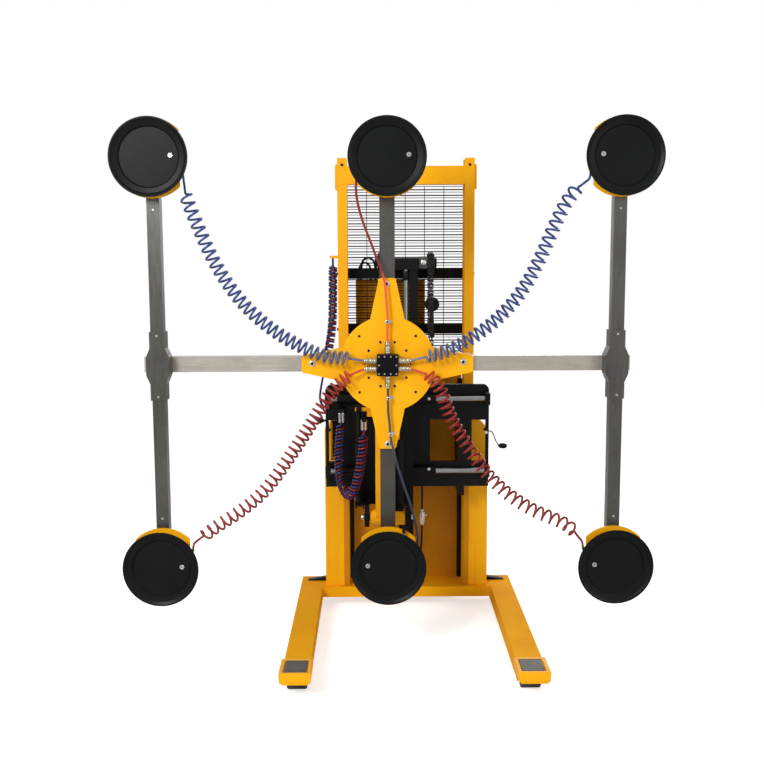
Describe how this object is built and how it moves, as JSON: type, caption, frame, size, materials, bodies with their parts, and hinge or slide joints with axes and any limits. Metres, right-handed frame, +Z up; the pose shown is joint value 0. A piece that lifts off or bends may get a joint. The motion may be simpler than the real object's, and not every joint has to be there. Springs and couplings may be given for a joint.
{
  "type": "glass panel lifter",
  "caption": "Powered straddle lifter with a mast, side-shifting tilting rotating head and a frame of round vacuum pads for glass panels.",
  "frame": {"origin": "on the floor, under the middle of the overall box", "axes": "+Z up, -Y towards the vacuum pads, +X to the right as seen from the pads"},
  "size_m": [2.1, 1.8, 2.147],
  "materials": {
    "yellow_paint": "satin",
    "black_paint": "satin",
    "galvanised": "satin",
    "chrome_rod": "polished",
    "rubber_pad": "matte",
    "wheel_tyre": "matte",
    "roller": "matte",
    "hood_cover": "satin",
    "black_plastic": "matte",
    "anodised_black": "satin",
    "brass_fitting": "satin",
    "chain_steel": "oiled",
    "blue_hose": "gloss",
    "red_hose": "gloss",
    "dark_hose": "gloss",
    "red_button": "gloss"
  },
  "bodies": {
    "root": {"leg_left": "yellow_paint", "leg_right": "yellow_paint", "base_frame": "yellow_paint", "mast_column_left": "yellow_paint", "mast_column_right": "yellow_paint", "mast_top_beam": "yellow_paint", "mesh_guard": "black_paint", "lift_cylinder": "black_paint", "power_hood": "hood_cover", "vacuum_cabinet": "hood_cover", "feed_coil": "blue_hose", "lift_chains": "chain_steel"},
    "load_wheel_left": {"load_wheel_left": "roller"},
    "load_wheel_right": {"load_wheel_right": "roller"},
    "crosshead": {"piston_rod": "chrome_rod", "crosshead": "black_paint"},
    "pulleys": {"chain_pulleys": "chain_steel"},
    "carriage": {"carriage_frame": "black_paint", "slide_rods": "chrome_rod", "loop_coil": "red_hose", "side_cable": "black_plastic", "cable_plug": "black_plastic"},
    "shift_knob": {"sideshift_knob": "black_plastic"},
    "sideshift": {"sideshift_body": "black_paint"},
    "tilt_post": {"tilt_post": "yellow_paint"},
    "actuator_barrel": {"tilt_actuator_barrel": "black_paint"},
    "actuator_rod": {"tilt_actuator_rod": "black_paint"},
    "head": {"rotator_hub": "yellow_paint", "head_plate": "yellow_paint", "manifold": "anodised_black", "hose_fittings": "brass_fitting", "blue_coil_left": "blue_hose", "blue_coil_right": "blue_hose", "red_coil_left": "red_hose", "red_coil_right": "red_hose", "top_hose": "red_hose", "lower_hose": "dark_hose"},
    "arm_left": {"arm_left": "galvanised", "cross_arm_left": "galvanised", "backing_left": "yellow_paint"},
    "arm_right": {"arm_right": "galvanised", "cross_arm_right": "galvanised", "backing_right": "yellow_paint"},
    "arm_top": {"arm_top": "galvanised", "backing_top": "yellow_paint"},
    "arm_bottom": {"arm_bottom": "galvanised", "backing_bottom": "yellow_paint"},
    "drive_unit": {"drive_unit": "black_paint"},
    "drive_wheel": {"drive_wheel": "wheel_tyre"},
    "tiller": {"tiller_arm": "black_paint"},
    "throttle": {"throttle": "black_plastic"},
    "emergency_stop": {"emergency_stop": "red_button"},
    "castor_fork": {"castor_fork": "black_paint"},
    "castor_wheel": {"castor_wheel": "wheel_tyre"},
    "pad_top_left": {"pad_top_left": "rubber_pad"},
    "pad_top_middle": {"pad_top_middle": "rubber_pad"},
    "pad_top_right": {"pad_top_right": "rubber_pad"},
    "pad_bottom_left": {"pad_bottom_left": "rubber_pad"},
    "pad_bottom_middle": {"pad_bottom_middle": "rubber_pad"},
    "pad_bottom_right": {"pad_bottom_right": "rubber_pad"}
  },
  "joints": [
    {"name": "lift", "type": "slide", "parent": "root", "child": "carriage", "axis": [0, 0, 1], "range_m": [-0.2, 0.6], "deforming": ["feed_coil", "lift_chains"]},
    {"name": "jack", "type": "slide", "parent": "root", "child": "crosshead", "axis": [0, 0, 1], "range_m": [-0.1, 0.3]},
    {"name": "pulley_spin", "type": "hinge", "parent": "crosshead", "child": "pulleys", "pos_m": [0.091, 0.18, 1.588], "axis": [1, 0, 0], "range_deg": [-430, 150]},
    {"name": "side_shift", "type": "slide", "parent": "carriage", "child": "sideshift", "axis": [1, 0, 0], "range_m": [-0.03, 0.21], "deforming": ["loop_coil"]},
    {"name": "shift_lock", "type": "hinge", "parent": "carriage", "child": "shift_knob", "pos_m": [-0.269, -0.015, 0.9], "axis": [1, 0, 0], "range_deg": [-90, 90]},
    {"name": "tilt", "type": "hinge", "parent": "sideshift", "child": "tilt_post", "pos_m": [0, -0.29, 0.535], "axis": [1, 0, 0], "range_deg": [-3, 15]},
    {"name": "actuator_swing", "type": "hinge", "parent": "sideshift", "child": "actuator_barrel", "pos_m": [-0.118, -0.15, 0.56], "axis": [1, 0, 0], "range_deg": [-5, 17]},
    {"name": "actuator_stroke", "type": "slide", "parent": "actuator_barrel", "child": "actuator_rod", "axis": [0, -0.229, 0.9734], "range_m": [-0.02, 0.05]},
    {"name": "rotate", "type": "hinge", "parent": "tilt_post", "child": "head", "pos_m": [0, -0.4, 1.195], "axis": [0, 1, 0], "range_deg": [-12, 12]},
    {"name": "arm_left_slide", "type": "slide", "parent": "head", "child": "arm_left", "axis": [-1, 0, 0], "range_m": [0, 0.15], "deforming": ["blue_coil_left", "red_coil_left"]},
    {"name": "arm_right_slide", "type": "slide", "parent": "head", "child": "arm_right", "axis": [1, 0, 0], "range_m": [0, 0.15], "deforming": ["blue_coil_right", "red_coil_right"]},
    {"name": "arm_top_slide", "type": "slide", "parent": "head", "child": "arm_top", "axis": [0, 0, 1], "range_m": [0, 0.15], "deforming": ["top_hose"]},
    {"name": "arm_bottom_slide", "type": "slide", "parent": "head", "child": "arm_bottom", "axis": [0, 0, -1], "range_m": [0, 0.15], "deforming": ["lower_hose"]},
    {"name": "load_wheel_left_roll", "type": "hinge", "parent": "root", "child": "load_wheel_left", "pos_m": [-0.349, -0.778, 0.04], "axis": [1, 0, 0], "continuous": true},
    {"name": "load_wheel_right_roll", "type": "hinge", "parent": "root", "child": "load_wheel_right", "pos_m": [0.531, -0.778, 0.04], "axis": [1, 0, 0], "continuous": true},
    {"name": "steer", "type": "hinge", "parent": "root", "child": "drive_unit", "pos_m": [0.031, 0.745, 0.3], "axis": [0, 0, 1], "range_deg": [-90, 90]},
    {"name": "drive_wheel_roll", "type": "hinge", "parent": "drive_unit", "child": "drive_wheel", "pos_m": [0.031, 0.745, 0.115], "axis": [1, 0, 0], "continuous": true},
    {"name": "tiller_fold", "type": "hinge", "parent": "drive_unit", "child": "tiller", "pos_m": [0.031, 0.8, 0.622], "axis": [-1, 0, 0], "range_deg": [0, 80], "stiffness_Nm_per_rad": 40, "springref_deg": -34.38},
    {"name": "throttle_turn", "type": "hinge", "parent": "tiller", "child": "throttle", "pos_m": [0.031, 0.869, 1.184], "axis": [1, 0, 0], "range_deg": [-30, 30], "stiffness_Nm_per_rad": 0.8},
    {"name": "stop_press", "type": "slide", "parent": "root", "child": "emergency_stop", "axis": [0, 0, -1], "range_m": [0, 0.008]},
    {"name": "castor_swivel", "type": "hinge", "parent": "root", "child": "castor_fork", "pos_m": [0.285, 0.7, 0.19], "axis": [0, 0, 1], "continuous": true},
    {"name": "castor_roll", "type": "hinge", "parent": "castor_fork", "child": "castor_wheel", "pos_m": [0.285, 0.732, 0.0625], "axis": [1, 0, 0], "continuous": true},
    {"name": "pad_top_left_swivel", "type": "hinge", "parent": "arm_left", "child": "pad_top_left", "pos_m": [-0.9, -0.518, 1.995], "axis": [1, 0, 0], "range_deg": [-3, 3], "stiffness_Nm_per_rad": 60},
    {"name": "pad_top_middle_swivel", "type": "hinge", "parent": "arm_top", "child": "pad_top_middle", "pos_m": [0, -0.518, 1.995], "axis": [1, 0, 0], "range_deg": [-3, 3], "stiffness_Nm_per_rad": 60},
    {"name": "pad_top_right_swivel", "type": "hinge", "parent": "arm_right", "child": "pad_top_right", "pos_m": [0.9, -0.518, 1.995], "axis": [1, 0, 0], "range_deg": [-3, 3], "stiffness_Nm_per_rad": 60},
    {"name": "pad_bottom_left_swivel", "type": "hinge", "parent": "arm_left", "child": "pad_bottom_left", "pos_m": [-0.9, -0.518, 0.395], "axis": [1, 0, 0], "range_deg": [-3, 3], "stiffness_Nm_per_rad": 60},
    {"name": "pad_bottom_middle_swivel", "type": "hinge", "parent": "arm_bottom", "child": "pad_bottom_middle", "pos_m": [0, -0.518, 0.395], "axis": [1, 0, 0], "range_deg": [-3, 3], "stiffness_Nm_per_rad": 60},
    {"name": "pad_bottom_right_swivel", "type": "hinge", "parent": "arm_right", "child": "pad_bottom_right", "pos_m": [0.9, -0.518, 0.395], "axis": [1, 0, 0], "range_deg": [-3, 3], "stiffness_Nm_per_rad": 60}
  ],
  "couplings": [
    {"joint": "jack", "follows": "lift", "ratio": 0.5},
    {"joint": "pulley_spin", "follows": "lift", "rad_per_m": -12.048},
    {"joint": "actuator_swing", "follows": "tilt", "ratio": 0.95},
    {"joint": "actuator_stroke", "follows": "tilt", "m_per_rad": 0.1394}
  ]
}
